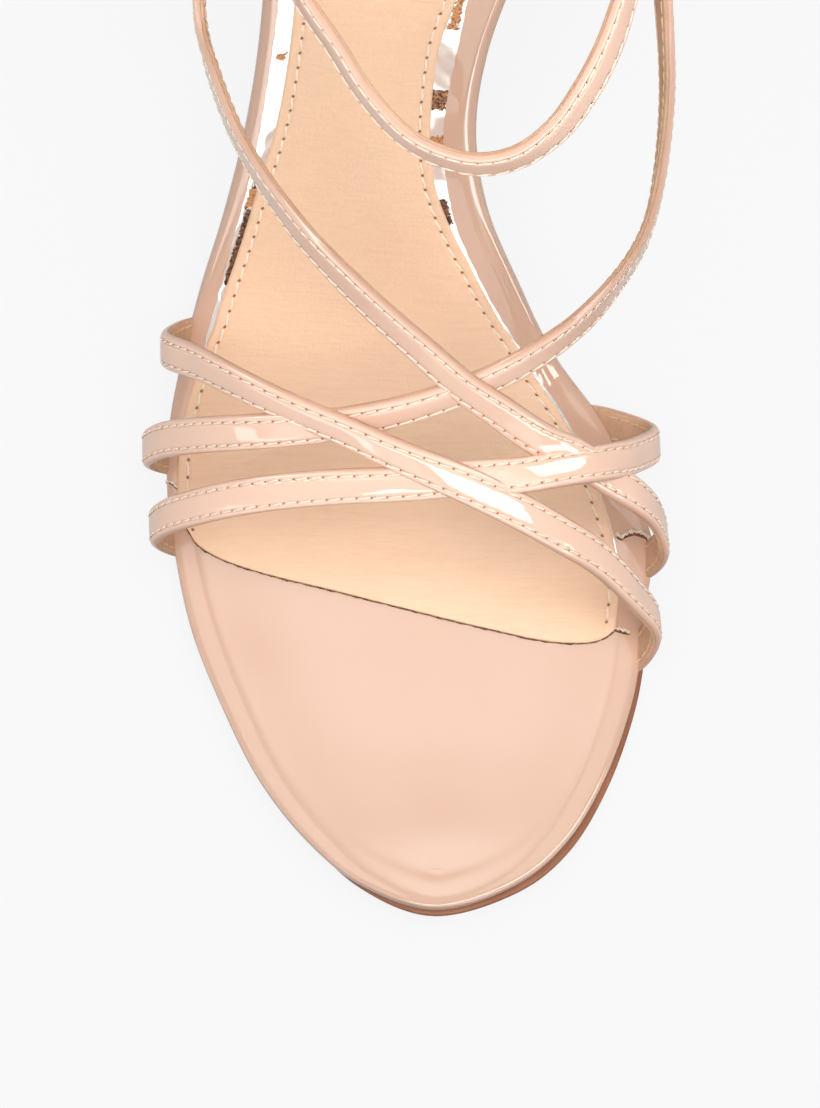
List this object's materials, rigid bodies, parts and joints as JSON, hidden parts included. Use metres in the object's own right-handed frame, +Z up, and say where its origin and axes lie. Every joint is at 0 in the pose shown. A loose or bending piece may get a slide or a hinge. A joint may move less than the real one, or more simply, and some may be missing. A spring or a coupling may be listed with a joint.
{
  "type": "strappy stiletto sandal",
  "caption": "Patent high-heeled sandal for the right foot with crossed forefoot straps, closed heel cup, buckled ankle strap and slim stiletto heel.",
  "frame": {"origin": "on the floor, in the middle of the shoe's bounding box", "axes": "+Z up, toe towards -Y, inner side of the foot towards +X"},
  "size_m": [0.088, 0.2164, 0.1487],
  "materials": {
    "patent": "glossy patent",
    "sock": "matte fine grain",
    "sole": "smooth brown",
    "tip": "matte",
    "buckle": "polished rose tone"
  },
  "bodies": {
    "root": {"outsole": "sole", "footbed": "patent", "sock": "sock", "heel": "patent", "heel_tip": "tip", "upper_straps": "patent", "counter": "patent", "back_loop": "patent", "ankle_strap": "patent", "keeper": "patent", "buckle_frame": "buckle", "buckle_prong": "buckle"}
  },
  "joints": []
}
